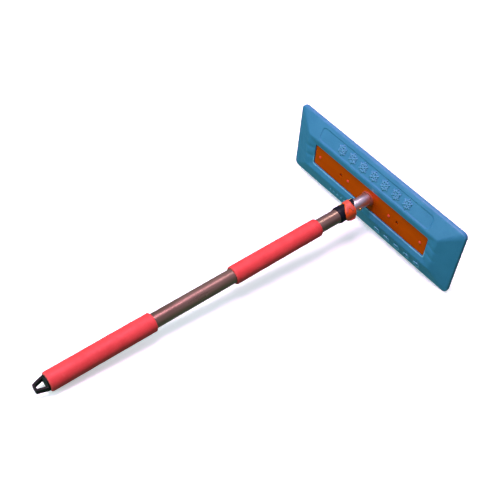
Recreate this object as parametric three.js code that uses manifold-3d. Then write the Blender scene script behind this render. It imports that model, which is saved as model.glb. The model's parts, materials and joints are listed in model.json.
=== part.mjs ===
// Telescoping snow broom with a moulded foam head.
//
// The tool is modelled in its own frame first: the origin is the middle of the
// backing plate's outer face, X runs along the head, Y across it, and Z runs up
// the pole towards the hang loop. Angles round the pole are measured from +X
// towards +Y. The last group lays the whole tool down as it rests on a floor, on
// the long lower edge of its head and the end of its lower grip.
// Lengths are in millimetres and angles in degrees.

import * as THREE from 'three';
import { ConvexGeometry } from 'three/addons/geometries/ConvexGeometry.js';
import { mergeVertices } from 'three/addons/utils/BufferGeometryUtils.js';
import Module from 'manifold-3d';

// ---- Driving dimensions -------------------------------------------------------

const GAP = 0.3; // clearance between pieces that touch
const ROUND = 32; // facets round the pole's turned pieces
const SMALL_ROUND = 20; // facets round pins, rivets and holes

// Foam head
const HEAD = { length: 440, height: 161, corner: 11 };
const RIDGE = { length: 350, height: 79, corner: 3, z: 5 };
const RIM = { backZ: -10.7, wallBackZ: -12.5, wallFrontZ: -18, frontZ: -22 };
const RIM_BACK_INSET = 0.9;
const RIM_FRONT_INSET = 3.4;
const POCKET = { length: 311.2, height: 50.4, corner: 4.5, lipZ: 1.8 };

// Backing plate, its tube socket and its fasteners
const PLATE = { length: 309, height: 48, corner: 3.5, thickness: 4 };
const DRAIN_HOLE = { x: 78.7, radius: 2.75 };
const BOSS = { radius: 15.2, height: 3.6, fillet: 1.4, lip: 0.6 };
const SPIGOT = { radius: 11, bore: 8, top: 46, leadIn: 1.5, tipRadius: 10 };
const RIVET_XS = [-140, -57.4, 57.4, 140];
const RIVET = { shank: 2.1, head: 4.1, dome: 1.9, facets: 14 };
const RIVET_TIP = { z: -17, radius: 1, barb: 3.1, barbZs: [-13, -9], barbLength: 2 };

// Pole
const OUTER_TUBE = { radius: 14, bore: 13.2, start: 62.5, end: 700 };
const INNER_TUBE = { radius: 12.5, bore: 11.3, end: 600 };
const STOP_BEAD = { z: 148, halfLength: 4, depth: 0.45 };
const GRIP = { radius: 17.9, bore: 14.3, length: 200, endRadius: 3.2 };
const UPPER_GRIP_START = 131.5;
const LOWER_GRIP_START = 500;
const CAP = { plug: 12.9, plugBore: 10.4, plugLength: 22, flange: 14.2, flangeLength: 2.4 };
const LOOP = { base: 28, tip: 15, end: 722.5, thickness: 10, corner: 2.6, root: 0.5 };
const LOOP_WINDOW = { base: 17, tip: 8.5, from: 0.8, wall: 3.8, corner: 1.8 };
const END_PLUG = { spigot: 11, bore: 8.5, flange: 12.3, flangeLength: 2.7, neck: 7, seatLength: 20 };
const END_PLUG_HEAD = { radius: 8.6, length: 2.4, taper: 1.4, web: 1 };
const GUIDE = { radius: 12.95, bore: 7.3, length: 9.4, endRadius: 12.15, taper: 1.2 };

// Clamp at the mouth of the outer tube
const COLLAR = { radius: 15.8, bore: 12.8, socket: 14.3, start: 36.8, ringStart: 46.5, end: 83.5 };
const COLLAR_BAND = { radius: 16.3, from: 75, to: 79.5, step: 1, endRadius: 15.1 };
const COLLAR_SLANT = { towards: 150, dropTo: 35.4 };
const PIN = { angle: 125, distance: 16.2, radius: 1.2, hole: 1.4, start: 38, end: 71 };
const PIN_BOSS = { radius: 17, halfAngle: 8, top: 74, rootRadius: 15, rootHalfAngle: 18, width: 20 };
const KNUCKLE = { radius: 2.6, camLift: 0.5, swing: 120, blend: 60, start: 46.8, end: 61.7 };
const PAD = { inner: 12.65, outer: 13.3, width: 7.2, start: 48.3, end: 60.2 };
const COLLAR_RIVET = { angle: 238, z: 70, shank: 1.5, head: 2.8, dome: 0.9, innerEnd: 12.9 };

// Lever
const LEVER = { inner: 16.1, thickness: 1.8, raised: 0.7, buried: 0.5, hingeLap: 3, lipStart: -15, faces: 58 };
const LEVER_SPACE = { from: 40, to: 80, reach: 30 }; // wider than the lever, for trimming
const LIP = { turn: 3.6, tipX: 19.8, tipY: -8.6 };

// Snap button and its leaf spring, in the plate's spigot
const BUTTON = { z: 32.5, radius: 3, top: 14.5, dome: 0.7, stem: 1.2, stemEnd: -1.2 };
const BUTTON_FLANGE = { radius: 3.8, from: 5.3, to: 6.4 };
const LEAF = { thickness: 0.6, width: 5, bendZ: 39.5 };
const LEAF_BUTTON_LEG = { x: 1.5, end: 26 };
const LEAF_BACK_LEG = { x: -7.2, end: 12 };

// Where the lying tool touches the floor
const LYING_TILT = Math.atan2(
  HEAD.height / 2 - GRIP.radius,
  LOWER_GRIP_START + GRIP.length - GRIP.endRadius - RIM.wallBackZ,
);

// ---- Materials ----------------------------------------------------------------

function material(color, roughness, metalness = 0) {
  return new THREE.MeshStandardMaterial({ color, roughness, metalness });
}

const FOAM_BLUE = material(0x2f86a8, 0.75);
const GRIP_RED = material(0xe04a4c, 0.85);
const PLATE_ORANGE = material(0xa84a10, 0.5);
const LEVER_ORANGE = material(0xd4503a, 0.4);
const COLLAR_BLACK = material(0x14181f, 0.45);
const CAP_BLACK = material(0x17181a, 0.5);
const POLE_BRONZE = material(0x6c5447, 0.35, 0.6);
const TUBE_SILVER = material(0xb4b0b4, 0.25, 0.9);
const STEEL = material(0xb9b4ac, 0.3, 0.9);
const BRASS = material(0xc9a765, 0.3, 0.9);
const NYLON = material(0xd8d6cf, 0.6);

// ---- Solid helpers ------------------------------------------------------------

const wasm = await Module();
wasm.setup();

/** A closed three.js geometry as a solid that can be cut and joined. */
function solid(geometry) {
  const bare = new THREE.BufferGeometry();
  bare.setAttribute('position', geometry.getAttribute('position').clone());
  if (geometry.index) bare.setIndex(geometry.index.clone());
  const merged = mergeVertices(bare, 1e-4);
  return new wasm.Manifold(new wasm.Mesh({
    numProp: 3,
    vertProperties: new Float32Array(merged.getAttribute('position').array),
    triVerts: new Uint32Array(merged.index.array),
  }));
}

/** A named mesh from a finished solid. */
function piece(name, body, finish) {
  const { vertProperties, triVerts } = body.getMesh();
  const geometry = new THREE.BufferGeometry();
  geometry.setAttribute('position', new THREE.BufferAttribute(vertProperties, 3));
  geometry.setIndex(new THREE.BufferAttribute(triVerts, 1));
  geometry.computeVertexNormals();
  const mesh = new THREE.Mesh(geometry, finish);
  mesh.name = name;
  return mesh;
}

/** A body turned about Z from [radius, z] points, anticlockwise: from axis to axis, or a ring. */
function turned(profile, facets = ROUND) {
  const onAxis = profile[0][0] === 0 && profile[profile.length - 1][0] === 0;
  const loop = onAxis ? profile : [...profile, profile[0]];
  const points = loop.map(([radius, z]) => new THREE.Vector2(radius, z));
  return solid(new THREE.LatheGeometry(points, facets).rotateX(Math.PI / 2));
}

/** A plain round tube or, with no bore, a plain rod. */
function tube(radius, bore, from, to, facets = ROUND) {
  if (bore === 0) return turned([[0, from], [radius, from], [radius, to], [0, to]], facets);
  return turned([[bore, from], [radius, from], [radius, to], [bore, to]], facets);
}

/** A flat outline raised from one height to another. */
function raised(shape, from, to) {
  const settings = { depth: to - from, bevelEnabled: false, curveSegments: 6 };
  return solid(new THREE.ExtrudeGeometry(shape, settings).translate(0, 0, from));
}

/** Corner points of a rounded rectangle centred on the axis. */
function roundedOutline(length, height, corner, steps = 5) {
  const points = [];
  for (let quarter = 0; quarter < 4; quarter += 1) {
    const signX = quarter === 0 || quarter === 3 ? 1 : -1;
    const signY = quarter < 2 ? 1 : -1;
    for (let i = 0; i <= steps; i += 1) {
      const angle = (quarter + i / steps) * Math.PI / 2;
      const x = signX * (length / 2 - corner) + corner * Math.cos(angle);
      const y = signY * (height / 2 - corner) + corner * Math.sin(angle);
      points.push(new THREE.Vector2(x, y));
    }
  }
  return points;
}

/** The convex body through rounded rectangles, each given as [z, length, height, corner]. */
function throughOutlines(levels) {
  const points = levels.flatMap(([z, length, height, corner]) => (
    roundedOutline(length, height, corner).map(({ x, y }) => new THREE.Vector3(x, y, z))
  ));
  return solid(new ConvexGeometry(points));
}

/** A box between two corners. */
function block(low, high) {
  const size = high.map((value, axis) => value - low[axis]);
  const middle = high.map((value, axis) => (value + low[axis]) / 2);
  return solid(new THREE.BoxGeometry(...size).translate(...middle));
}

const radians = THREE.MathUtils.degToRad;

/** The x and y of a point at a radius and an angle round the pole. */
function aroundPole(radius, degrees) {
  return [radius * Math.cos(radians(degrees)), radius * Math.sin(radians(degrees))];
}

/** Turns a body that points along Z so that it points out from the pole, at a height on it. */
function pointOut(body, degrees, z) {
  return body.rotate([0, 90, 0]).rotate([0, 0, degrees]).translate([0, 0, z]);
}

// ---- Foam head ----------------------------------------------------------------

function foamHead() {
  const front = RIM_FRONT_INSET;
  const back = RIM_BACK_INSET;
  let body = throughOutlines([
    [RIM.frontZ, HEAD.length - 2 * front, HEAD.height - 2 * front, HEAD.corner - front],
    [RIM.wallFrontZ, HEAD.length, HEAD.height, HEAD.corner],
    [RIM.wallBackZ, HEAD.length, HEAD.height, HEAD.corner],
    [RIM.backZ, HEAD.length - 2 * back, HEAD.height - 2 * back, HEAD.corner - back],
    [RIDGE.z, RIDGE.length, RIDGE.height, RIDGE.corner],
  ]);
  const pocket = new THREE.Shape(roundedOutline(POCKET.length, POCKET.height, POCKET.corner));
  body = body.subtract(raised(pocket, -PLATE.thickness - GAP, RIDGE.z));
  body = body.subtract(dish());
  for (const x of RIVET_XS) {
    const hole = tube(RIVET_TIP.barb + GAP, 0, RIVET_TIP.z - 1, 0, SMALL_ROUND);
    body = body.subtract(hole.translate([x, 0, 0]));
  }
  return body;
}

/** The shallow dish from the ridge down to the pocket's lip, carried on above the ridge. */
function dish() {
  const depth = RIDGE.z - POCKET.lipZ;
  return throughOutlines([
    [POCKET.lipZ, POCKET.length, POCKET.height, POCKET.corner],
    [
      RIDGE.z + depth,
      2 * RIDGE.length - POCKET.length,
      2 * RIDGE.height - POCKET.height,
      RIDGE.corner,
    ],
  ]);
}

// ---- Backing plate with socket and spigot ---------------------------------------

function backingPlate() {
  const outline = new THREE.Shape(roundedOutline(PLATE.length, PLATE.height, PLATE.corner));
  let body = raised(outline, -PLATE.thickness, 0);
  const bossInner = INNER_TUBE.radius + GAP;
  body = body.add(turned([
    [bossInner, -1],
    [BOSS.radius + BOSS.fillet, -1],
    [BOSS.radius + BOSS.fillet, 0],
    [BOSS.radius, BOSS.fillet],
    [BOSS.radius, BOSS.height - BOSS.lip],
    [BOSS.radius - BOSS.lip, BOSS.height],
    [bossInner, BOSS.height],
  ]));
  body = body.add(turned([
    [SPIGOT.bore, -1],
    [SPIGOT.radius, -1],
    [SPIGOT.radius, SPIGOT.top - SPIGOT.leadIn],
    [SPIGOT.tipRadius, SPIGOT.top],
    [SPIGOT.bore, SPIGOT.top],
  ]));
  const buttonHole = tube(BUTTON.radius + GAP, 0, 0, SPIGOT.radius + 2, SMALL_ROUND);
  body = body.subtract(pointOut(buttonHole, 0, BUTTON.z));
  for (const side of [-1, 1]) {
    const drain = tube(DRAIN_HOLE.radius, 0, -PLATE.thickness - 1, 1, SMALL_ROUND);
    body = body.subtract(drain.translate([side * DRAIN_HOLE.x, 0, 0]));
  }
  for (const x of RIVET_XS) {
    const hole = tube(RIVET.shank + GAP, 0, -PLATE.thickness - 1, 1, SMALL_ROUND);
    body = body.subtract(hole.translate([x, 0, 0]));
  }
  return body;
}

/** A push rivet: domed head on the plate, barbed shank in the foam. */
function plateRivet() {
  const barbs = RIVET_TIP.barbZs.flatMap((z) => [
    [RIVET.shank, z - RIVET_TIP.barbLength],
    [RIVET_TIP.barb, z],
    [RIVET.shank, z],
  ]);
  const dome = [25, 55].map((degrees) => {
    const [out, up] = aroundPole(1, degrees);
    return [RIVET.head * out, GAP + RIVET.dome * up];
  });
  return turned([
    [0, RIVET_TIP.z],
    [RIVET_TIP.radius, RIVET_TIP.z],
    ...barbs,
    [RIVET.shank, GAP],
    [RIVET.head, GAP],
    ...dome,
    [0, GAP + RIVET.dome],
  ], RIVET.facets);
}

// ---- Pole -----------------------------------------------------------------------

/** The outer tube, with a rolled bead that stops the inner tube's guide ring. */
function outerTube() {
  const bead = [-1, -0.4, 0.4, 1].map((place) => (
    [Math.abs(place) < 1 ? STOP_BEAD.depth : 0, STOP_BEAD.z + place * STOP_BEAD.halfLength]
  ));
  const outside = bead.map(([depth, z]) => [OUTER_TUBE.radius - depth, z]);
  const inside = bead.map(([depth, z]) => [OUTER_TUBE.bore - depth, z]).reverse();
  const body = turned([
    [OUTER_TUBE.bore, OUTER_TUBE.start],
    [OUTER_TUBE.radius, OUTER_TUBE.start],
    ...outside,
    [OUTER_TUBE.radius, OUTER_TUBE.end],
    [OUTER_TUBE.bore, OUTER_TUBE.end],
    ...inside,
  ]);
  const hole = tube(COLLAR_RIVET.shank + GAP, 0, 0, OUTER_TUBE.radius + 1, SMALL_ROUND);
  return body.subtract(pointOut(hole, COLLAR_RIVET.angle, COLLAR_RIVET.z));
}

function innerTube() {
  const body = tube(INNER_TUBE.radius, INNER_TUBE.bore, GAP, INNER_TUBE.end);
  const hole = tube(BUTTON.radius + GAP, 0, 0, INNER_TUBE.radius + 1, SMALL_ROUND);
  return body.subtract(pointOut(hole, 0, BUTTON.z));
}

/** Plug in the inner tube's top end, with a neck and snap head that carry the guide ring. */
function innerEndPlug() {
  const seat = INNER_TUBE.end + GAP;
  const neck = seat + END_PLUG.flangeLength;
  const head = neck + GUIDE.length + 2 * GAP;
  const tip = head + END_PLUG_HEAD.length;
  const web = seat + END_PLUG_HEAD.web;
  return turned([
    [END_PLUG.bore, seat - END_PLUG.seatLength],
    [END_PLUG.spigot, seat - END_PLUG.seatLength],
    [END_PLUG.spigot, seat],
    [END_PLUG.flange, seat],
    [END_PLUG.flange, neck],
    [END_PLUG.neck, neck],
    [END_PLUG.neck, head],
    [END_PLUG_HEAD.radius, head],
    [END_PLUG_HEAD.radius - END_PLUG_HEAD.taper, tip],
    [0, tip],
    [0, web],
    [END_PLUG.bore, web],
  ]);
}

function guideRing() {
  const from = INNER_TUBE.end + 2 * GAP + END_PLUG.flangeLength;
  const to = from + GUIDE.length;
  return turned([
    [GUIDE.bore, from],
    [GUIDE.endRadius, from],
    [GUIDE.radius, from + GUIDE.taper],
    [GUIDE.radius, to - GUIDE.taper],
    [GUIDE.endRadius, to],
    [GUIDE.bore, to],
  ]);
}

/** A foam sleeve with rounded ends. */
function grip(start) {
  const end = start + GRIP.length;
  const { radius, bore, endRadius } = GRIP;
  const rounding = [0, 30, 60, 90].map((degrees) => aroundPole(endRadius, degrees));
  const shoulder = radius - endRadius;
  const nearEnd = rounding.map(([up, out]) => [shoulder + out, start + endRadius - up]);
  const farEnd = rounding.map(([out, up]) => [shoulder + out, end - endRadius + up]);
  return turned([[bore, start], ...nearEnd, ...farEnd, [bore, end]]);
}

/** End cap: a plug in the tube and a flat tapered hang loop. */
function endCap() {
  const seat = OUTER_TUBE.end + GAP;
  const flangeTop = seat + CAP.flangeLength;
  const body = turned([
    [CAP.plugBore, seat - CAP.plugLength],
    [CAP.plug, seat - CAP.plugLength],
    [CAP.plug, seat],
    [CAP.flange, seat],
    [CAP.flange, flangeTop],
    [0, flangeTop],
    [0, seat],
    [CAP.plugBore, seat],
  ]);
  const height = LOOP.end - flangeTop;
  const outline = taperedOutline(LOOP, -LOOP.root, height);
  outline.holes.push(taperedOutline(LOOP_WINDOW, LOOP_WINDOW.from, height - LOOP_WINDOW.wall));
  const loop = raised(outline, -LOOP.thickness / 2, LOOP.thickness / 2);
  return body.add(loop.rotate([90, 0, 0]).translate([0, 0, flangeTop]));
}

/** A trapezium with rounded corners, as wide as its base at the bottom and as its tip at the top. */
function taperedOutline({ base, tip, corner }, bottom, top) {
  const shape = new THREE.Shape();
  const corners = [[base / 2, bottom], [tip / 2, top], [-tip / 2, top], [-base / 2, bottom]];
  corners.forEach(([x, y], i) => {
    const at = new THREE.Vector2(x, y);
    const before = new THREE.Vector2(...corners[(i + 3) % 4]).sub(at).setLength(corner).add(at);
    const after = new THREE.Vector2(...corners[(i + 1) % 4]).sub(at).setLength(corner).add(at);
    if (i === 0) shape.moveTo(before.x, before.y);
    else shape.lineTo(before.x, before.y);
    shape.quadraticCurveTo(x, y, after.x, after.y);
  });
  shape.closePath();
  return shape;
}

// ---- Clamp ----------------------------------------------------------------------

const PIN_AT = aroundPole(PIN.distance, PIN.angle);
const alongPin = (body) => body.translate([...PIN_AT, 0]);

/** Collar on the outer tube's mouth, with the lever's hinge bosses and the pad's window. */
function clampCollar() {
  let body = turned([
    [COLLAR.bore, COLLAR.start],
    [COLLAR.radius, COLLAR.start],
    [COLLAR.radius, COLLAR_BAND.from - COLLAR_BAND.step],
    [COLLAR_BAND.radius, COLLAR_BAND.from],
    [COLLAR_BAND.radius, COLLAR_BAND.to],
    [COLLAR_BAND.endRadius, COLLAR.end],
    [COLLAR.socket, COLLAR.end],
    [COLLAR.socket, OUTER_TUBE.start - GAP],
    [COLLAR.bore, OUTER_TUBE.start - GAP],
  ]);
  const boss = new THREE.Shape();
  const { halfAngle, rootHalfAngle } = PIN_BOSS;
  boss.absarc(0, 0, PIN_BOSS.radius, radians(PIN.angle - halfAngle), radians(PIN.angle + halfAngle));
  const rootEnds = [PIN.angle + rootHalfAngle, PIN.angle - rootHalfAngle].map(radians);
  boss.absarc(0, 0, PIN_BOSS.rootRadius, ...rootEnds, true);
  boss.closePath();
  const [knuckleFrom, knuckleTo] = [KNUCKLE.start - GAP, KNUCKLE.end + GAP];
  const { width } = PIN_BOSS;
  const bossGap = block([0, -width / 2, knuckleFrom], [width, width / 2, knuckleTo]);
  body = body.add(raised(boss, COLLAR.start, PIN_BOSS.top).subtract(bossGap.rotate([0, 0, PIN.angle])));
  body = body.subtract(alongPin(tube(KNUCKLE.radius + GAP, 0, knuckleFrom, knuckleTo, SMALL_ROUND)));
  body = body.subtract(alongPin(tube(PIN.hole, 0, PIN.start - GAP, PIN.end + GAP, SMALL_ROUND)));
  const window = block(
    [COLLAR.bore - 2, -PAD.width / 2 - GAP, PAD.start - GAP],
    [PIN.distance, PAD.width / 2 + GAP, PAD.end + GAP],
  );
  body = body.subtract(window.rotate([0, 0, PIN.angle]));
  const rivetHole = tube(COLLAR_RIVET.shank + GAP, 0, 0, COLLAR.radius + 2, SMALL_ROUND);
  body = body.subtract(pointOut(rivetHole, COLLAR_RIVET.angle, COLLAR_RIVET.z));
  return body.subtract(slantedEnd());
}

/** The wedge that slopes the collar's mouth, longest on the hinge's side. */
function slantedEnd() {
  const reach = 1.4 * COLLAR.radius;
  const below = 0.8 * COLLAR.start;
  const slope = (COLLAR.ringStart - COLLAR_SLANT.dropTo) / COLLAR.radius;
  const wedge = new THREE.Shape([
    new THREE.Vector2(-reach, below),
    new THREE.Vector2(reach, below),
    new THREE.Vector2(reach, COLLAR.ringStart - slope * reach),
    new THREE.Vector2(0, COLLAR.ringStart),
    new THREE.Vector2(-reach, COLLAR.ringStart),
  ]);
  return raised(wedge, -reach, reach).rotate([90, 0, 0]).rotate([0, 0, COLLAR_SLANT.towards]);
}

const leverPin = () => alongPin(tube(PIN.radius, 0, PIN.start, PIN.end, SMALL_ROUND));

/** Blind rivet that holds the collar on the outer tube. */
function collarRivet() {
  const seat = COLLAR.radius + GAP / 2;
  const body = turned([
    [0, COLLAR_RIVET.innerEnd],
    [COLLAR_RIVET.shank, COLLAR_RIVET.innerEnd],
    [COLLAR_RIVET.shank, seat],
    [COLLAR_RIVET.head, seat + 0.1],
    [COLLAR_RIVET.head * 0.7, seat + COLLAR_RIVET.dome * 0.8],
    [0, seat + COLLAR_RIVET.dome],
  ], SMALL_ROUND);
  return pointOut(body, COLLAR_RIVET.angle, COLLAR_RIVET.z);
}

/** Nylon pad in the collar's window, which the lever's cam presses on the inner tube. */
function clampPad() {
  const ring = tube(PAD.outer, PAD.inner, PAD.start, PAD.end, 2 * ROUND);
  const cut = block([0, -PAD.width / 2, PAD.start - 1], [PAD.outer + 2, PAD.width / 2, PAD.end + 1]);
  return ring.intersect(cut.rotate([0, 0, PIN.angle]));
}

// ---- Lever ----------------------------------------------------------------------

/** Middle line of the lever's wall: round the collar, then out along the lip. */
function leverLine(radius) {
  const steps = 18;
  const line = [];
  for (let i = 0; i <= steps; i += 1) {
    const degrees = THREE.MathUtils.lerp(PIN.angle - LEVER.hingeLap, LEVER.lipStart, i / steps);
    line.push(new THREE.Vector2(...aroundPole(radius, degrees)));
  }
  const heading = new THREE.Vector2(...aroundPole(1, LEVER.lipStart - 90));
  const from = line[line.length - 1];
  const turn = from.clone().addScaledVector(heading, LIP.turn);
  const lip = new THREE.QuadraticBezierCurve(from, turn, new THREE.Vector2(LIP.tipX, LIP.tipY));
  return [...line, ...lip.getPoints(7).slice(1)];
}

/** The lever's wall as a solid longer than the lever, to be trimmed to its outline. */
function leverWall(inner, thickness, from, to) {
  const line = leverLine(inner + thickness / 2);
  const sides = line.map((point, i) => {
    const before = line[Math.max(i - 1, 0)];
    const after = line[Math.min(i + 1, line.length - 1)];
    const across = after.clone().sub(before).setLength(thickness / 2);
    return [
      new THREE.Vector2(point.x - across.y, point.y + across.x),
      new THREE.Vector2(point.x + across.y, point.y - across.x),
    ];
  });
  const outline = [...sides.map(([left]) => left), ...sides.map(([, right]) => right).reverse()];
  return raised(new THREE.Shape(outline), from, to);
}

/** A prism through the lever, square to the plane from its hinge to its lip. Points are [across, z]. */
function leverOutline(points) {
  const closed = new THREE.SplineCurve([...points, points[0]].map(([q, z]) => new THREE.Vector2(q, z)));
  const { reach } = LEVER_SPACE;
  const across = new THREE.Vector3(...aroundPole(1, LEVER.faces - 90), 0);
  const up = new THREE.Vector3(0, 0, 1);
  const place = new THREE.Matrix4().makeBasis(across, up, across.clone().cross(up));
  const outline = new THREE.Shape(closed.getPoints(64).slice(0, -1));
  const prism = new THREE.ExtrudeGeometry(outline, { depth: 2 * reach, bevelEnabled: false });
  return solid(prism.translate(0, 0, -reach).applyMatrix4(place));
}

/** The eye round the pin. Its radius falls away from the tube as the lever swings open. */
function leverKnuckle() {
  const towardsTube = PIN.angle - 180;
  const points = [];
  for (let degrees = 0; degrees < 360; degrees += 15) {
    const behind = THREE.MathUtils.euclideanModulo(towardsTube - degrees, 360);
    const falling = behind / KNUCKLE.swing;
    const rising = 1 - (behind - KNUCKLE.swing) / KNUCKLE.blend;
    const fall = Math.max(0, Math.min(falling, rising));
    points.push(new THREE.Vector2(...aroundPole(KNUCKLE.radius - KNUCKLE.camLift * fall, degrees)));
  }
  return alongPin(raised(new THREE.Shape(points), KNUCKLE.start, KNUCKLE.end));
}

function clampLever() {
  const outline = leverOutline([
    [-19, 46.9], [-14.5, 47.6], [-8, 49.6], [-2.5, 49.6], [2.5, 47.9], [10, 48], [16.5, 46.8],
    [20.5, 48.2], [22, 55], [20.5, 62.5], [16.5, 69.5], [11, 73], [4, 73], [-1.5, 70.6],
    [-7, 66.8], [-11.6, 62.4], [-13.6, 61.3], [-19, 61.5],
  ]);
  const lobes = leverOutline([
    [-17, 48.6], [-13, 49.4], [-8, 51], [-2.5, 51.2], [2.5, 49.8], [6.2, 51.6], [5.8, 56],
    [1.2, 58.2], [-1.2, 60.6], [0.6, 63.6], [5.4, 66.4], [5.6, 70.2], [1.4, 70.4],
    [-4.5, 67], [-9, 63.6], [-13, 60.8], [-17, 60],
  ]);
  const { from, to } = LEVER_SPACE;
  const { inner, thickness, raised: lift, buried } = LEVER;
  const wall = leverWall(inner, thickness, from, to).intersect(outline);
  const raisedWall = leverWall(inner + buried, thickness - buried + lift, from, to).intersect(lobes);
  const body = wall.add(raisedWall).add(leverKnuckle());
  return body.subtract(alongPin(tube(PIN.radius + GAP, 0, from, to, SMALL_ROUND)));
}

// ---- Snap button ------------------------------------------------------------------

function snapButton() {
  const { radius, top, dome } = BUTTON;
  const crown = [0, 30, 60].map((degrees) => {
    const [out, up] = aroundPole(1, degrees);
    return [radius * out, top - dome + 2 * dome * up];
  });
  const body = turned([
    [0, BUTTON.stemEnd],
    [BUTTON.stem, BUTTON.stemEnd],
    [BUTTON.stem, BUTTON_FLANGE.from],
    [BUTTON_FLANGE.radius, BUTTON_FLANGE.from],
    [BUTTON_FLANGE.radius, BUTTON_FLANGE.to],
    [radius, BUTTON_FLANGE.to],
    ...crown,
    [0, top + dome],
  ], SMALL_ROUND);
  return pointOut(body, 0, BUTTON.z);
}

/** A U of spring strip: one leg bears on the spigot's bore, the other carries the button. */
function snapSpring() {
  const half = LEAF.thickness / 2;
  const middle = (LEAF_BUTTON_LEG.x + LEAF_BACK_LEG.x) / 2;
  const bend = (LEAF_BUTTON_LEG.x - LEAF_BACK_LEG.x) / 2;
  const shape = new THREE.Shape();
  shape.moveTo(LEAF_BUTTON_LEG.x + half, LEAF_BUTTON_LEG.end);
  shape.absarc(middle, LEAF.bendZ, bend + half, 0, Math.PI, false);
  shape.lineTo(LEAF_BACK_LEG.x - half, LEAF_BACK_LEG.end);
  shape.lineTo(LEAF_BACK_LEG.x + half, LEAF_BACK_LEG.end);
  shape.absarc(middle, LEAF.bendZ, bend - half, Math.PI, 0, true);
  shape.lineTo(LEAF_BUTTON_LEG.x - half, LEAF_BUTTON_LEG.end);
  shape.closePath();
  const strip = raised(shape, -LEAF.width / 2, LEAF.width / 2).rotate([90, 0, 0]);
  const holeEnds = [LEAF_BUTTON_LEG.x - 1, LEAF_BUTTON_LEG.x + 1];
  const hole = tube(BUTTON.stem + GAP, 0, ...holeEnds, SMALL_ROUND);
  return strip.subtract(pointOut(hole, 0, BUTTON.z));
}

// ---- Assembly ---------------------------------------------------------------------

const tool = new THREE.Group();
tool.add(
  piece('foam_head', foamHead(), FOAM_BLUE),
  piece('backing_plate', backingPlate(), PLATE_ORANGE),
  piece('inner_tube', innerTube(), TUBE_SILVER),
  piece('inner_end_plug', innerEndPlug(), CAP_BLACK),
  piece('guide_ring', guideRing(), NYLON),
  piece('snap_button', snapButton(), BRASS),
  piece('snap_spring', snapSpring(), STEEL),
  piece('outer_tube', outerTube(), POLE_BRONZE),
  piece('clamp_collar', clampCollar(), COLLAR_BLACK),
  piece('collar_rivet', collarRivet(), STEEL),
  piece('lever_pin', leverPin(), BRASS),
  piece('clamp_pad', clampPad(), NYLON),
  piece('clamp_lever', clampLever(), LEVER_ORANGE),
  piece('upper_grip', grip(UPPER_GRIP_START), GRIP_RED),
  piece('lower_grip', grip(LOWER_GRIP_START), GRIP_RED),
  piece('end_cap', endCap(), CAP_BLACK),
);
RIVET_XS.forEach((x, i) => {
  const rivet = piece(`plate_rivet_${i + 1}`, plateRivet(), PLATE_ORANGE);
  rivet.position.x = x;
  tool.add(rivet);
});

// Laid down: the pole points along -Y, and the tool's lowest points are at Z = 0.
tool.rotation.x = Math.PI / 2 + LYING_TILT;
const lying = new THREE.Group();
lying.add(tool);
lying.updateMatrixWorld(true);
const extent = new THREE.Box3().setFromObject(lying, true);
const middle = extent.getCenter(new THREE.Vector3());
tool.position.set(-middle.x, -middle.y, -extent.min.z);

export default lying;
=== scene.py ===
"""Looks of a telescoping snow broom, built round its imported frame.

Every shape is made in the tool's own frame, in millimetres: the origin is the middle
of the backing plate's outer face, X runs along the head, Y across it, and Z runs up
the pole towards the hang loop. Angles round the pole go from +X towards +Y. Finished
meshes are then placed in the row frame, in metres.
"""
import json
import math

import bpy
import numpy as np
from mathutils import Euler, Matrix, Vector


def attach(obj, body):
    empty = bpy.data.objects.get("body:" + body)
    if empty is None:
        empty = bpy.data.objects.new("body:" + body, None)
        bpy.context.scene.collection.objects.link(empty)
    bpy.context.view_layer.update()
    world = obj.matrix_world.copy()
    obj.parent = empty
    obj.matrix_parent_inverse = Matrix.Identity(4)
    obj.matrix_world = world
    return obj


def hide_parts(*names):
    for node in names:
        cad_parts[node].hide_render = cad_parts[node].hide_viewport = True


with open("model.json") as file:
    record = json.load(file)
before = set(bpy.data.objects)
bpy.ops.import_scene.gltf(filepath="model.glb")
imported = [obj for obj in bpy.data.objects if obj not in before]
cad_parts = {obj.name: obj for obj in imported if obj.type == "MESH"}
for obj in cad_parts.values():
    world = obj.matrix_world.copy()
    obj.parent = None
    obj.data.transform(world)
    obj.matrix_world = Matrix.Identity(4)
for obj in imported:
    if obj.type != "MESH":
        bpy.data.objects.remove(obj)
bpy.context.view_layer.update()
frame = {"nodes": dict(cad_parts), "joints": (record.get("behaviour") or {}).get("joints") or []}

# ---- Sizes, in millimetres ------------------------------------------------------

ROUND = 96  # facets round the pole's turned pieces
SMALL_ROUND = 40  # facets round pins, rivets and small holes
CAD_FACETS = 32  # facets round the frame's own turned pieces

HEAD = {"length": 440, "height": 161, "corner": 11}
RIDGE = {"length": 350, "height": 79, "corner": 3, "z": 5}
RIM = {"back": -10.7, "wall_back": -12.5, "wall_front": -18, "front": -22}
RIM_BACK_INSET = 1.8
RIM_FRONT_INSET = 6.8
FRONT_FLAT_INSET = 30  # from the rim to the flat middle of the working face
POCKET = {"length": 311.2, "height": 50.4, "corner": 4.5, "lip": 1.8, "floor": -4.2}
POCKET_FLOOR_INSET = 8
SIDE_STEPS = (480, 88, 280, 88)  # points along the head's top, left, bottom and right
CORNER_STEPS = 8  # facets round each corner of a rounded rectangle

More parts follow.
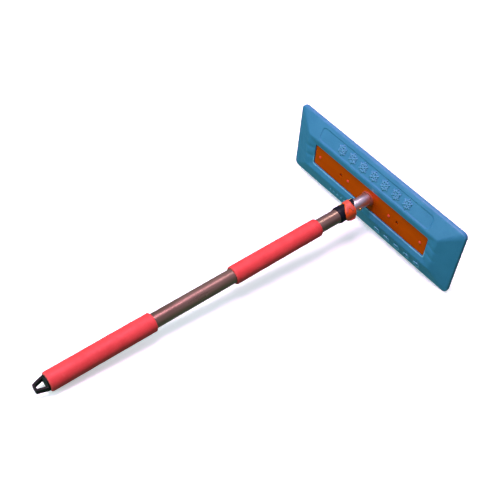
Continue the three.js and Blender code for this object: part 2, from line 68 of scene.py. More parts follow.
PANEL = {"y": 57.5, "half_length": 150, "half_height": 13.5, "corner": 8, "depth": 1.5}
FLAKE = {"count": 7, "pitch": 29.5, "reach": 11.2, "width": 2.4, "height": 2.3}
BRANCH = {"root": 0.52, "length": 0.36}  # of a snowflake, as shares of its arm
PIPS = {"count": 6, "first": (-98, -55), "pitch": 10.5, "flat": 1.6, "foot": 3.0}
LOOPS = {"count": 5, "first": (38, -58), "pitch": 27, "flat": 0.8, "foot": 2.0}
LOOP_SIZE = (6.8, 5.8, 4.8)  # half length, half height and corner of a loop's middle line
MARK_HEIGHT = 2.6
SINK = {"ys": (13, -9), "from": 157, "width": 4.5, "depth": 1.0, "slant": 0.18}
SINK_FADES = {"in": (151, 161), "out": (172, 190)}
FOAM_WAVE = 0.22  # how far moulding lets the foam's faces wander
LOWER_WEAR_AND_HIGHLIGHT = 3  # how much paler the lower marks are painted than the motif, as wear and painted highlight, and how strong the painted highlight along the pocket's lower lip is

PLATE = {"length": 309, "height": 48, "corner": 3.5, "thickness": 4}
DRAIN = {"x": 78.7, "radius": 3.2, "chamfer": 0.25}
BOSS = {"radius": 15.2, "height": 3.6, "fillet": 1.6}
PAINTED_GLOW_SPOT = (14, 21, 0)  # middle of the painted red-orange highlight on the plate beside the tube
SPIGOT = {"radius": 11, "bore": 8, "top": 46}
RIVET_XS = (-140, -57.4, 57.4, 140)

OUTER_TUBE = {"radius": 14, "bore": 13.2, "from": 62.5, "to": 700}
INNER_TUBE = {"radius": 12.5, "bore": 11.3, "from": 0.3, "to": 600}
STOP_BEAD = {"z": 148, "half_length": 4, "depth": 0.45}
GRIP = {"radius": 17.9, "bore": 14.05, "length": 200, "end_radius": 3.6}
GRIP_STARTS = {"upper": 131.5, "lower": 500}
GRIP_WAVES = {"long": 0.16, "short": 0.05, "inset": 0.14}  # depths of the foam's unevenness
PIN = {"angle": 125, "distance": 16.2, "radius": 1.2, "from": 38, "to": 71}
BUTTON = {"z": 32.5, "radius": 3, "top": 14.5, "dome": 0.7, "clearance": 0.3}
BUTTON_FLANGE = {"radius": 3.8, "from": 5.3, "to": 6.4}
BUTTON_TAIL = {"radius": 1.2, "from": -1.2}
PLATE_RIVET = {"radius": 3.2, "seat": 0.1, "dome": 1.8, "shank": 2.1, "tip": -16}
COLLAR_RIVET = {"radius": 2.8, "seat": 15.95, "dome": 0.9, "shank": 1.5, "tip": 12.9}
COLLAR_RIVET_PLACE = {"angle": 238, "z": 70}
LEVER_FACE = {"radius": 17.9, "raised": 0.7}

# The camera's place and turn are in the tool's frame.
CAMERA = {"at": (710.9, 1152.6, 934.5), "turn": (-45.267, 51.609, 5.118)}
LENS = {"length": 60.38, "sensor": 36}

# The room and its lights are in the row frame, in metres and watts.
ROOM = {"reach": 12, "floor_glow": 0.4, "dome_glow": 0.72}
SKY = {"horizon": (0.14, 0.27, 0.2, 1), "zenith": (0.46, 0.41, 0.58, 1)}
LIGHTS = {
    "overhead": {
        "at": (-0.25, -0.25, 2.0), "aim": (0, 0, 0.05), "size": (0.8, 0.8),
        "power": 58, "tint": (1.0, 0.6, 0.9)},
    "low_fill": {
        "at": (-0.5, -1.7, 0.3), "aim": (0, 0.2, 0.1), "size": (1.4, 0.5),
        "power": 30, "tint": (0.55, 1.0, 0.95)},
    "back_strip": {
        "at": (-1.3, 2.4, 0.9), "aim": (0, 0.1, 0.1), "size": (2.0, 0.7),
        "power": 16, "tint": (1.0, 0.84, 1.0)},
    "streak": {
        "at": (-0.4, 1.0, 1.6), "aim": (0, 0, 0.05), "size": (0.4, 0.7),
        "power": 8, "tint": (1.0, 0.9, 0.94)},
}

# ---- The tool's place in the row frame --------------------------------------------

twist = next(joint for joint in frame["joints"] if joint["name"] == "head_twist")
up_pole = -Vector(twist["axis"]).normalized()
along_head = Vector((1, 0, 0))
across_head = up_pole.cross(along_head)
TOOL_TURN = Matrix((along_head, across_head, up_pole)).transposed()
TOOL = Matrix.Translation(twist["pos_m"]) @ TOOL_TURN.to_4x4() @ Matrix.Scale(0.001, 4)


# ---- Paths and outlines -------------------------------------------------------------

def soft_path(keys, arc_steps=5):
    """A path through keys of (point, soften, spacing): each corner is rounded over that
    distance, and the straight stretch after it has points about that spacing apart.
    The last two numbers of a point are the ones that distances are measured in."""
    points = [np.array(key[0], float) for key in keys]
    stations = []
    for i, (_, soften, spacing) in enumerate(keys):
        here = points[i]
        if soften and 0 < i < len(keys) - 1:
            legs = [points[i - 1] - here, points[i + 1] - here]
            before, after = [here + leg * soften / np.hypot(*leg[-2:]) for leg in legs]
            ts = np.linspace(0, 1, arc_steps + 1)
            arc = [(1 - t) ** 2 * before + 2 * t * (1 - t) * here + t * t * after for t in ts]
        else:
            arc = [here]
        stations.append((arc, spacing))
    path = []
    for i, (arc, spacing) in enumerate(stations):
        path.extend(arc)
        if i + 1 < len(stations) and spacing:
            start, end = arc[-1], stations[i + 1][0][0]
            steps = max(1, round(np.hypot(*(end - start)[-2:]) / spacing))
            path.extend(start + (end - start) * k / steps for k in range(1, steps))
    return path


def rounded_outline(length, height, corner, side_steps):
    """Points anticlockwise round a rounded rectangle, from its right side's upper end."""
    hx, hy = length / 2 - corner, height / 2 - corner
    middles = [(hx, hy), (-hx, hy), (-hx, -hy), (hx, -hy)]
    arcs = []
    for quarter, (x, y) in enumerate(middles):
        angles = np.radians(90 * (quarter + np.linspace(0, 1, CORNER_STEPS + 1)))
        arcs.append(np.column_stack([x + corner * np.cos(angles), y + corner * np.sin(angles)]))
    points = []
    for quarter, arc in enumerate(arcs):
        points.append(arc)
        shares = np.arange(1, side_steps[quarter])[:, None] / side_steps[quarter]
        following = arcs[(quarter + 1) % 4][0]
        points.append(arc[-1] + (following - arc[-1]) * shares)
    return np.vstack(points)


def outline_rings(levels, side_steps, arc_steps=5):
    """Rounded rectangles stacked along a softened path through levels of (size, z, soften,
    spacing), where a size is length, height and corner. Distances are measured up the
    middle of the long side."""
    keys = [((*size, size[1] / 2, z), soften, spacing) for size, z, soften, spacing in levels]
    rings = []
    for length, height, corner, _, z in soft_path(keys, arc_steps):
        outline = rounded_outline(length, height, corner, side_steps)
        rings.append(np.column_stack([outline, np.full(len(outline), z)]))
    return rings


def polar(radius, degrees):
    """The point at that radius and angle."""
    return radius * math.cos(math.radians(degrees)), radius * math.sin(math.radians(degrees))


# ---- Meshes -------------------------------------------------------------------------

def lofted(rings, capped=True):
    """Skin over rings of equal point counts, closed by flat caps or joined end to end."""
    count = len(rings[0])
    vertices = np.vstack(rings)
    around = np.arange(count)
    following = (around + 1) % count
    faces = []
    last = len(rings) if not capped else len(rings) - 1
    for i in range(last):
        low, high = i * count, (i + 1) % len(rings) * count
        quads = [low + around, low + following, high + following, high + around]
        faces.extend(np.column_stack(quads).tolist())
    if capped:
        faces.append(around[::-1].tolist())
        faces.append((around + (len(rings) - 1) * count).tolist())
    return vertices, faces


def turned(profile, facets=ROUND):
    """A body turned about Z from [radius, z] points: a closed ring, or from axis to axis."""
    profile = np.array(profile, float)
    solid = profile[0][0] == 0 and profile[-1][0] == 0
    kept = profile[1:-1] if solid else profile
    angles = np.linspace(0, 2 * np.pi, facets, endpoint=False)
    rings = [
        np.column_stack([radius * np.cos(angles), radius * np.sin(angles), np.full(facets, z)])
        for radius, z in kept
    ]
    if not solid:
        return lofted(rings, capped=False)
    vertices, faces = lofted(rings)
    faces = faces[:-2]
    ends = [(len(vertices), 0), (len(vertices) + 1, (len(rings) - 1) * facets)]
    vertices = np.vstack([vertices, [0, 0, profile[0][1]], [0, 0, profile[-1][1]]])
    for k in range(facets):
        following = (k + 1) % facets
        faces.append([ends[0][0], ends[0][1] + following, ends[0][1] + k])
        faces.append([ends[1][0], ends[1][1] + k, ends[1][1] + following])
    return vertices, faces


def point_out(vertices, degrees, z):
    """Turns a body that points along Z so that it points out from the pole at a height."""
    turn = Euler((0, math.radians(90), math.radians(degrees))).to_matrix()
    return vertices @ np.array(turn).T + [0, 0, z]


def new_object(name, shape):
    """An object from a shape's vertices and faces."""
    vertices, faces = shape
    mesh = bpy.data.meshes.new(name)
    mesh.from_pydata(np.asarray(vertices, float).tolist(), [], faces)
    mesh.update()
    piece = bpy.data.objects.new(name, mesh)
    bpy.context.scene.collection.objects.link(piece)
    return piece


def apply_modifiers(piece):
    """Bakes an object's modifiers into its mesh."""
    graph = bpy.context.evaluated_depsgraph_get()
    mesh = bpy.data.meshes.new_from_object(piece.evaluated_get(graph), depsgraph=graph)
    piece.modifiers.clear()
    piece.data = mesh


def join_or_cut(piece, shape, operation):
    """Joins a closed shape to an object, or cuts the shape from it."""
    other = new_object("tool_shape", shape)
    change = piece.modifiers.new("change", "BOOLEAN")
    change.operation = operation
    change.solver = "EXACT"
    change.object = other
    apply_modifiers(piece)
    bpy.data.objects.remove(other)


def finish_piece(piece, finish, body, replaced, crease=32):
    """Places a finished object in the row frame, fixes it to its body and hides the frame pieces that
    it stands in for.
    """
    piece.data.transform(TOOL)
    piece.data.materials.clear()
    piece.data.materials.append(finish.material)
    piece.data.polygons.foreach_set("use_smooth", [True] * len(piece.data.polygons))
    piece.data.set_sharp_from_angle(angle=math.radians(crease))
    flat = piece.modifiers.new("flat_faces", "WEIGHTED_NORMAL")
    flat.keep_sharp = True
    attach(piece, body)
    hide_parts(*replaced)


def ripple(points, wavelength, seed):
    """Smooth seeded noise over points, between about -1 and 1."""
    random = np.random.default_rng(seed)
    waves = random.normal(size=(14, 3)) / wavelength * 2 * np.pi / 1.7
    phases = random.uniform(0, 2 * np.pi, 14)
    return np.sin(points @ waves.T + phases).sum(1) / math.sqrt(2 * 14) * 0.9


def smoothstep(low, high, value):
    """0 below low and 1 above high, with a smooth rise between them."""
    share = np.clip((value - low) / (high - low), 0, 1)
    return share * share * (3 - 2 * share)


# ---- Foam head ------------------------------------------------------------------------

def segment_distance(points, start, end):
    """How far each point is from a straight stretch."""
    start, end = np.array(start, float), np.array(end, float)
    along = end - start
    share = np.clip((points - start) @ along / (along @ along), 0, 1)
    return np.linalg.norm(points - start - share[:, None] * along, axis=1)


def flake_relief(x, y):
    """A row of plain six-armed snowflakes, as a share of their height."""
    first = -(FLAKE["count"] - 1) / 2 * FLAKE["pitch"]
    nearest = np.clip(np.round((x - first) / FLAKE["pitch"]), 0, FLAKE["count"] - 1)
    dx = x - (first + nearest * FLAKE["pitch"])
    dy = y - PANEL["y"]
    # All the half arms are folded onto one that lies along X.
    arm = np.pi / 3
    angle = np.arctan2(dy, dx) - np.pi / 2
    angle = np.abs((angle + arm / 2) % arm - arm / 2)
    radius = np.hypot(dx, dy)
    folded = np.column_stack([radius * np.cos(angle), radius * np.sin(angle)])
    half_width = FLAKE["width"] / 2
    reach = FLAKE["reach"] - half_width
    root, length = reach * BRANCH["root"], reach * BRANCH["length"]
    tip = (root + length / 2, length * math.sin(arm))
    distance = np.minimum(
        segment_distance(folded, (0, 0), (reach, 0)),
        segment_distance(folded, (root, 0), tip))
    return 1 - smoothstep(half_width - 0.6, half_width + 0.4, distance)


def rounded_box_distance(x, y, half_length, half_height, corner):
    """Distance to a rounded rectangle's outline, below 0 inside it."""
    qx, qy = np.abs(x) - half_length + corner, np.abs(y) - half_height + corner
    outside = np.hypot(np.maximum(qx, 0), np.maximum(qy, 0))
    return outside + np.minimum(np.maximum(qx, qy), 0) - corner


def lower_relief(x, y):
    """Plain raised marks along the lower slope: small pips on one side, loops on the other."""
    relief = np.zeros_like(x)
    for marks in (PIPS, LOOPS):
        for k in range(marks["count"]):
            dx = x - marks["first"][0] - marks["pitch"] * k
            dy = y - marks["first"][1]
            if marks is PIPS:
                distance = np.hypot(dx, dy)
            else:
                distance = np.abs(rounded_box_distance(dx, dy, *LOOP_SIZE))
            relief = np.maximum(relief, 1 - smoothstep(marks["flat"], marks["foot"], distance))
    return relief


def head_relief(x, y):
    """Height added to the head's back: panel, motif, marks and the sinks beside the plate."""
    panel = rounded_box_distance(
        x, y - PANEL["y"], PANEL["half_length"], PANEL["half_height"], PANEL["corner"])
    height = -PANEL["depth"] * (1 - smoothstep(-0.9, 0.5, panel))
    height += FLAKE["height"] * flake_relief(x, y) * (y > 0)
    height += MARK_HEIGHT * lower_relief(x, y)
    reach = smoothstep(*SINK_FADES["in"], np.abs(x)) * (1 - smoothstep(*SINK_FADES["out"], np.abs(x)))
    for sink in SINK["ys"]:
        slanted = y - sink + SINK["slant"] * (np.abs(x) - SINK["from"])
        height -= SINK["depth"] * reach * np.exp(-(slanted / SINK["width"]) ** 2)
    return height


def pale_wear_and_highlight(x, y, z, lip):
    """How pale the head's raised marks are painted, partly as wear and partly as painted highlight,
    and then how strong the painted highlight along its pocket's lower lip is.
    """
    marks = np.maximum(flake_relief(x, y) * (y > 0), LOWER_WEAR_AND_HIGHLIGHT * lower_relief(x, y))
    lip_edge = smoothstep(-0.2, 0.5, lip) * (1 - smoothstep(0.8, 2.6, lip)) * (z > 0)
    lower_half = 1 - smoothstep(-14, 2, y)
    return marks, LOWER_WEAR_AND_HIGHLIGHT * lip_edge * lower_half


def foam_head(finish):
    """The head's foam: one skin lofted from its front over rim, slopes and frame to the pocket."""
    length, height, corner = HEAD["length"], HEAD["height"], HEAD["corner"]
    front, back = RIM_FRONT_INSET, RIM_BACK_INSET
    flat = FRONT_FLAT_INSET * 2
    pocket = (POCKET["length"], POCKET["height"], POCKET["corner"])
    floor = (pocket[0] - POCKET_FLOOR_INSET * 2, pocket[1] - POCKET_FLOOR_INSET * 2, 1)
    # Each level is a size of length, height and corner, then z, softening and spacing.
    levels = [
        ((length - flat, height - flat, 2), RIM["front"], 0, 9),
        ((length - front, height - front, corner - front / 2), RIM["front"], 2.2, 1.2),
        ((length, height, corner), RIM["wall_front"], 1.7, 1.4),
        ((length, height, corner), RIM["wall_back"], 0.85, 1),
        ((length - back, height - back, corner - back / 2), RIM["back"], 0.85, 0.78),
        ((RIDGE["length"], RIDGE["height"], RIDGE["corner"]), RIDGE["z"], 3.2, 1.2),
        (pocket, POCKET["lip"], 0.9, 1.5),
        (pocket, POCKET["floor"], 0, 4),
        (floor, POCKET["floor"], 0, 0),
    ]
    vertices, faces = lofted(outline_rings(levels, SIDE_STEPS))
    x, y, z = vertices.T
    rim = rounded_box_distance(x, y, length / 2, height / 2, corner)
    lip = rounded_box_distance(x, y, POCKET["length"] / 2, POCKET["height"] / 2, 4)
    # Relief fades out at the rim and at the pocket's lip.
    on_back = (z > RIM["back"]) * smoothstep(2, 4, -rim) * smoothstep(0.4, 2.5, lip)
    vertices[:, 2] += on_back * head_relief(x, y)
    # The raised marks are painted pale, partly as wear and partly as painted highlight; the pocket's
    # lower lip gets a painted highlight line.
    marks, lip_highlight = pale_wear_and_highlight(x, y, z, lip)
    raised = np.maximum(on_back * marks, lip_highlight)
    vertices[:, 2] += on_back * FOAM_WAVE * ripple(vertices, 55, seed=3)
    edge = smoothstep(-6, 0, rim)
    vertices[:, 1] -= np.sign(y) * edge * FOAM_WAVE * (1 + ripple(vertices, 38, seed=4))
    piece = new_object("head_foam", (vertices, faces))
    piece.data.attributes.new("raised", "FLOAT", "POINT").data.foreach_set("value", raised)
    finish_piece(piece, finish, "head", ["foam_head"], crease=60)


# ---- Backing plate and its rivets ---------------------------------------------------

def backing_plate(finish):
    """Moulded plate with rounded edges, its tube socket, spigot, drains and button hole."""
    length, height, corner = PLATE["length"], PLATE["height"], PLATE["corner"]
    levels = [
        ((length - 3, height - 3, corner - 1.5), -PLATE["thickness"], 0, 0),
        ((length, height, corner), -PLATE["thickness"], 0.5, 0),
        ((length, height, corner), 0, 0.9, 0),
        ((length - 4, height - 4, corner - 2), 0, 0, 0),
    ]
    piece = new_object("head_plate", lofted(outline_rings(levels, (2, 2, 2, 2), arc_steps=4)))
    join_or_cut(piece, turned(tube_socket_profile()), "UNION")
    join_or_cut(piece, turned([
        (SPIGOT["bore"], -1), (SPIGOT["radius"], -1),
        (SPIGOT["radius"], SPIGOT["top"] - 1.5), (SPIGOT["radius"] - 1, SPIGOT["top"]),
        (SPIGOT["bore"], SPIGOT["top"]),
    ]), "UNION")
    join_or_cut(piece, button_hole(13), "DIFFERENCE")
    for side in (-1, 1):
        vertices, faces = turned([
            (0, -PLATE["thickness"] - 1),
            (DRAIN["radius"], -PLATE["thickness"] - 1),
            (DRAIN["radius"], -DRAIN["chamfer"]),
            (DRAIN["radius"] + DRAIN["chamfer"] * 2, DRAIN["chamfer"]),
            (0, DRAIN["chamfer"]),
        ], SMALL_ROUND)
        join_or_cut(piece, (vertices + [side * DRAIN["x"], 0, 0], faces), "DIFFERENCE")
    finish_piece(piece, finish, "head", ["backing_plate"])


def button_hole(length):
    """The shape that cuts the snap button's hole, from the pole's axis out."""
    radius = BUTTON["radius"] + BUTTON["clearance"]
    vertices, faces = turned([(0, 0), (radius, 0), (radius, length), (0, length)], SMALL_ROUND)
    return point_out(vertices, 0, BUTTON["z"]), faces


def tube_socket_profile():
    """The boss that the inner tube stands in, with its fillet and rounded lip."""
    radius, fillet, height = BOSS["radius"], BOSS["fillet"], BOSS["height"]
    inner = INNER_TUBE["radius"] + 0.3
    lip_radius = 0.9
    foot = []
    for angle in np.radians(np.linspace(0, 90, 7)):
        foot.append((radius + fillet * (1 - math.sin(angle)), fillet * (1 - math.cos(angle))))
    lip = []
    for angle in np.linspace(0, 90, 6):
        across, up = polar(lip_radius, angle)
        lip.append((radius - lip_radius + across, height - lip_radius + up))
    return [
        (inner, -1), (radius + fillet, -1), *foot, *lip,
        (inner + 0.5, height), (inner, height - 0.5),
    ]


def domed_rivet(radius, seat, dome, shank, tip):
    """A rivet with a domed head, a rolled rim and a plain shank."""
    rim = 0.35
    cap = []
    for angle in range(0, 90, 9):
        across, up = polar(1, angle)
        cap.append((radius * across, seat + rim + (dome - rim) * up))
    return [
        (0, tip), (shank - 0.5, tip), (shank, tip + 0.8), (shank, seat),
        (radius - 0.3, seat), *cap, (0, seat + dome),
    ]


def plate_rivets(finish):
    """The four fasteners along the plate."""
    for number, x in enumerate(RIVET_XS, start=1):
        vertices, faces = turned(domed_rivet(**PLATE_RIVET), SMALL_ROUND)
        piece = new_object(f"head_rivet_{number}", (vertices + [x, 0, 0], faces))
        finish_piece(piece, finish, "head", [f"plate_rivet_{number}"])


# ---- Pole -----------------------------------------------------------------------------

def outer_tube(finish):
    """The outer tube, with rounded ends and the rolled bead under the upper grip."""
    bead = []
    for offset in np.linspace(-1, 1, 13):
        depth = (1 + math.cos(math.pi * offset)) / 2 * STOP_BEAD["depth"]
        bead.append((depth, STOP_BEAD["z"] + offset * STOP_BEAD["half_length"]))
    start, end = OUTER_TUBE["from"], OUTER_TUBE["to"]
    radius, bore = OUTER_TUBE["radius"], OUTER_TUBE["bore"]
    piece = new_object("pole_outer", turned([
        (bore, start), (radius - 0.2, start), (radius, start + 0.2),
        *[(radius - depth, z) for depth, z in bead],
        (radius, end - 0.2), (radius - 0.2, end), (bore, end),
        *[(bore - depth, z) for depth, z in reversed(bead)],
    ]))
    finish_piece(piece, finish, "handle", ["outer_tube"])


def inner_tube(finish):
    """The inner tube, with rounded ends and the snap button's hole."""
    start, end = INNER_TUBE["from"], INNER_TUBE["to"]
    radius, bore = INNER_TUBE["radius"], INNER_TUBE["bore"]
    piece = new_object("pole_inner", turned([
        (bore, start), (radius - 0.2, start), (radius, start + 0.2),
        (radius, end - 0.2), (radius - 0.2, end), (bore, end),
    ]))
    join_or_cut(piece, button_hole(15), "DIFFERENCE")
    finish_piece(piece, finish, "head", ["inner_tube"])


def foam_grip(place, finish):
    """A foam sleeve with soft rounded ends and the slight unevenness of cut foam."""
    start = GRIP_STARTS[place]
    end = start + GRIP["length"]
    keys = [
        ((GRIP["bore"], start + 1.5), 0, 0.5),
        ((GRIP["bore"], start), 0.8, 0.8),
        ((GRIP["radius"], start), GRIP["end_radius"], 1.6),
        ((GRIP["radius"], end), GRIP["end_radius"], 0.8),
        ((GRIP["bore"], end), 0.8, 0.5),
        ((GRIP["bore"], end - 1.5), 0, 0),
    ]
    vertices, faces = turned(soft_path(keys, arc_steps=8), ROUND)
    radius = np.linalg.norm(vertices[:, :2], axis=1)
    radial = vertices[:, :2] / radius[:, None]
    outside = smoothstep(GRIP["bore"] + 1, GRIP["radius"] - 1, radius)
    seed = round(start)
    waves = GRIP_WAVES["long"] * ripple(vertices, 30, seed)
    waves += GRIP_WAVES["short"] * ripple(vertices, 7, seed + 1)
    vertices[:, :2] += radial * (outside * (waves - GRIP_WAVES["inset"]))[:, None]
    piece = new_object(f"grip_{place}", (vertices, faces))
    finish_piece(piece, finish, "handle", [f"{place}_grip"], crease=60)


# ---- Moulded pieces, softened from the frame's own shapes ------------------------------

def moulded(name, node, voxel, softening, turned_below=None):
    """A fine copy of a frame piece, in millimetres: facets round the pole are rounded out,
    all the way up or below a height, and edges are softened as moulding leaves them."""
    source = frame["nodes"][node].data
    points = np.array([vertex.co for vertex in source.vertices])
    to_tool = np.array(TOOL.inverted())
    points = points @ to_tool[:3, :3].T + to_tool[:3, 3]
    faces = [list(face.vertices) for face in source.polygons]
    piece = new_object(name, (points, faces))
    weld = piece.modifiers.new("weld", "WELD")
    weld.merge_threshold = 1e-3
    remesh = piece.modifiers.new("remesh", "REMESH")
    remesh.mode = "VOXEL"
    remesh.voxel_size = voxel
    apply_modifiers(piece)
    points = np.array([vertex.co for vertex in piece.data.vertices])
    facet = 2 * np.pi / CAD_FACETS
    angle = np.arctan2(points[:, 1], points[:, 0]) % facet - facet / 2
    stretch = np.cos(angle) / math.cos(facet / 2)
    if turned_below is not None:
        stretch[points[:, 2] > turned_below] = 1
    points[:, :2] *= stretch[:, None]
    piece.data.vertices.foreach_set("co", points.ravel())
    soften = piece.modifiers.new("soften", "SMOOTH")
    soften.factor = 0.5
    soften.iterations = softening
    thin = piece.modifiers.new("thin", "DECIMATE")
    thin.ratio = 0.35
    apply_modifiers(piece)
    return piece


def clamp(black, orange):
    """The collar and the lever that closes it."""
    collar = moulded("clamp_body", "clamp_collar", voxel=0.3, softening=7)
    finish_piece(collar, black, "handle", ["clamp_collar"], crease=70)
    lever = moulded("clamp_arm", "clamp_lever", voxel=0.25, softening=8)
    finish_piece(lever, orange, "lever", ["clamp_lever"], crease=70)


def hang_cap(finish):
    """The pole's cap: only its plug and rim are turned, and its hang loop is flat."""
    rim_top = OUTER_TUBE["to"] + 2.6
    cap = moulded("hang_cap", "end_cap", voxel=0.3, softening=9, turned_below=rim_top)
    finish_piece(cap, finish, "handle", ["end_cap"], crease=70)


def metal_fasteners(steel, brass):
    """The lever's pin, the collar's rivet and the snap button."""
    x, y = polar(PIN["distance"], PIN["angle"])
    radius, edge = PIN["radius"], 0.25
    vertices, faces = turned([
        (0, PIN["from"]), (radius - edge, PIN["from"]), (radius, PIN["from"] + edge),
        (radius, PIN["to"] - edge), (radius - edge, PIN["to"]), (0, PIN["to"]),
    ], SMALL_ROUND)
    piece = new_object("clamp_pin", (vertices + [x, y, 0], faces))
    finish_piece(piece, brass, "handle", ["lever_pin"])

    vertices, faces = turned(domed_rivet(**COLLAR_RIVET), SMALL_ROUND)
    vertices = point_out(vertices, COLLAR_RIVET_PLACE["angle"], COLLAR_RIVET_PLACE["z"])
    piece = new_object("clamp_rivet", (vertices, faces))
    finish_piece(piece, steel, "handle", ["collar_rivet"])

    radius, top = BUTTON["radius"], BUTTON["top"]
    dome = []
    for angle in range(0, 90, 10):
        across, up = polar(1, angle)
        dome.append((radius * across, top - 0.9 + 1.6 * up))
    tail, flange = BUTTON_TAIL["radius"], BUTTON_FLANGE["radius"]
    vertices, faces = turned([
        (0, BUTTON_TAIL["from"]), (tail, BUTTON_TAIL["from"]), (tail, BUTTON_FLANGE["from"]),
        (flange, BUTTON_FLANGE["from"]), (flange, BUTTON_FLANGE["to"]),
        (radius, BUTTON_FLANGE["to"]), *dome, (0, top + BUTTON["dome"]),
    ], SMALL_ROUND)
    piece = new_object("snap_pin", (point_out(vertices, 0, BUTTON["z"]), faces))
    finish_piece(piece, brass, "button", ["snap_button"])


# ---- Finishes -----------------------------------------------------------------------

def linear(red, green, blue):
    """A display colour of 0 to 255 as the linear colour that shaders take."""
    shares = [channel / 255 for channel in (red, green, blue)]
    return [s / 12.92 if s <= 0.04045 else ((s + 0.055) / 1.055) ** 2.4 for s in shares] + [1.0]


class Finish:
    """One procedural material. Its patterns lie in the tool's frame, in millimetres."""

    def __init__(self, name, roughness, metallic=0.0, specular=0.5):
        self.material = bpy.data.materials.new(name)
        self.material.use_nodes = True
        self.tree = self.material.node_tree
        self.shader = self.tree.nodes["Principled BSDF"]
        self.shader.inputs["Roughness"].default_value = roughness
        self.shader.inputs["Metallic"].default_value = metallic
        self.shader.inputs["Specular IOR Level"].default_value = specular
        coordinates = self.tree.nodes.new("ShaderNodeTexCoord")
        turn = TOOL_TURN.transposed()
        place = self.tree.nodes.new("ShaderNodeMapping")
        place.inputs["Scale"].default_value = (1000, 1000, 1000)
        place.inputs["Rotation"].default_value = turn.to_euler()
        place.inputs["Location"].default_value = turn @ Vector(twist["pos_m"]) * -1000
        self.tree.links.new(coordinates.outputs["Object"], place.inputs["Vector"])
        self.place = place.outputs["Vector"]
        self.colour = None
        self.normal = None

    def node(self, kind, inputs, **settings):
        """A shader node whose inputs are numbers or other nodes' outputs."""
        made = self.tree.nodes.new("ShaderNode" + kind)
        for name, value in settings.items():
            setattr(made, name, value)
        for name, value in inputs.items():
            if isinstance(value, bpy.types.NodeSocket):
                self.tree.links.new(value, made.inputs[name])
            else:
                made.inputs[name].default_value = value
        return made

    def stretched(self, stretch):
        """The tool's coordinates, drawn out along each axis."""
        scale = [1 / s for s in stretch]
        return self.node("Mapping", {"Vector": self.place, "Scale": scale}).outputs["Vector"]

    def noise(self, size, detail, stretch=(1, 1, 1), distortion=0.0):
        """Cloudy noise with features about that size."""
        made = self.node("TexNoise", {
            "Vector": self.stretched(stretch), "Scale": 1 / size, "Detail": detail,
            "Roughness": 0.55, "Distortion": distortion,
        })
        return made.outputs["Fac"]

    def cells(self, size):
        """Distance to the middle of the nearest of many cells of about that size."""
        made = self.node("TexVoronoi", {"Vector": self.place, "Scale": 1 / size})
        return made.outputs["Distance"]

    def ramp(self, value, low, high, to_low=0.0, to_high=1.0):
        """Value carried from one range to another, and kept inside it."""
        made = self.node("MapRange", {
            "Value": value, "From Min": low, "From Max": high, "To Min": to_low, "To Max": to_high,
        })
        return made.outputs["Result"]

    def axes(self):
        """The tool's coordinates, one output for each axis."""
        return self.node("SeparateXYZ", {"Vector": self.place}).outputs

    def maths(self, operation, first, second=0.0):
        """The result of one sum on two values."""
        made = self.node("Math", {0: first, 1: second}, operation=operation)
        return made.outputs[0]

    def near_edge(self, half_x, half_y, width):
        """1 at a rectangle's edge and beyond, down to 0 at a width inside it."""
        parts = self.axes()
        x = self.ramp(self.maths("ABSOLUTE", parts["X"]), half_x - width, half_x)
        y = self.ramp(self.maths("ABSOLUTE", parts["Y"]), half_y - width, half_y)
        return self.maths("MAXIMUM", x, y)

    def blend(self, share, first, second):
        """The first colour, with that share of the second one."""
        made = self.node("Mix", {"Factor": share}, data_type="RGBA")
        for socket, value in (("A", first), ("B", second)):
            colour_input = next(i for i in made.inputs if i.name == socket and i.type == "RGBA")
            if isinstance(value, bpy.types.NodeSocket):
                self.tree.links.new(value, colour_input)
            else:
                colour_input.default_value = value
        return next(o for o in made.outputs if o.type == "RGBA")

    def drive(self, socket, value):
        """Feeds a pattern to one of the shader's inputs."""
        self.tree.links.new(value, self.shader.inputs[socket])

    def bump(self, height, depth):
        """Adds relief of that depth in millimetres."""
        inputs = {"Height": height, "Distance": depth * 0.001, "Strength": 1.0}
        if self.normal is not None:
            inputs["Normal"] = self.normal
        self.normal = self.node("Bump", inputs).outputs["Normal"]
        self.drive("Normal", self.normal)


def head_foam_finish():
    """Moulded closed-cell foam: a satin skin with fine cells, soft tones, pale scuffs and wear along
    its rim;
    its raised marks are painted pale, partly as wear and partly as painted highlight, and its
    pocket's lower lip gets a painted highlight line."""
    finish = Finish("moulded_blue_foam", roughness=0.5, specular=0.3)
    tone = finish.ramp(finish.noise(48, 3), 0.3, 0.7)
    colour = finish.blend(tone, linear(40, 102, 138), linear(48, 110, 146))
    grain = finish.ramp(finish.noise(1.6, 2), 0.3, 0.7, 0.0, 0.3)
    colour = finish.blend(grain, colour, linear(56, 130, 158))
    pits = finish.ramp(finish.cells(1.1), 0.0, 0.22, 0.4, 0.0)
    colour = finish.blend(pits, colour, linear(22, 84, 108))
    edge = finish.near_edge(HEAD["length"] / 2 - 2, HEAD["height"] / 2 - 1.5, 3)
    worn = finish.maths("MULTIPLY", edge, finish.ramp(finish.noise(5, 5), 0.52, 0.66))
    colour = finish.blend(finish.maths("MULTIPLY", worn, 0.16), colour, linear(110, 165, 190))
    scuff = finish.ramp(finish.noise(14, 5, stretch=(5, 1, 1), distortion=0.6), 0.66, 0.74, 0.0, 0.12)
    colour = finish.blend(scuff, colour, linear(98, 164, 188))
    # Painted highlight with wear: raised marks blend towards a pale blue, and the pocket's lower lip
    # blends to a painted highlight line.
    raised = finish.node("Attribute", {}, attribute_name="raised").outputs["Fac"]
    rubbed_and_lit = finish.maths("MULTIPLY", raised, finish.ramp(finish.noise(4, 4), 0.2, 0.7, 0.1, 0.35))
    colour = finish.blend(rubbed_and_lit, colour, linear(120, 172, 200))
    finish.drive("Base Color", colour)
    finish.drive("Roughness", finish.ramp(finish.noise(9, 4), 0.25, 0.75, 0.4, 0.56))
    finish.bump(finish.noise(5.5, 2), 0.08)
    finish.bump(finish.cells(0.9), 0.05)
    finish.bump(finish.noise(0.5, 2), 0.03)
    return finish


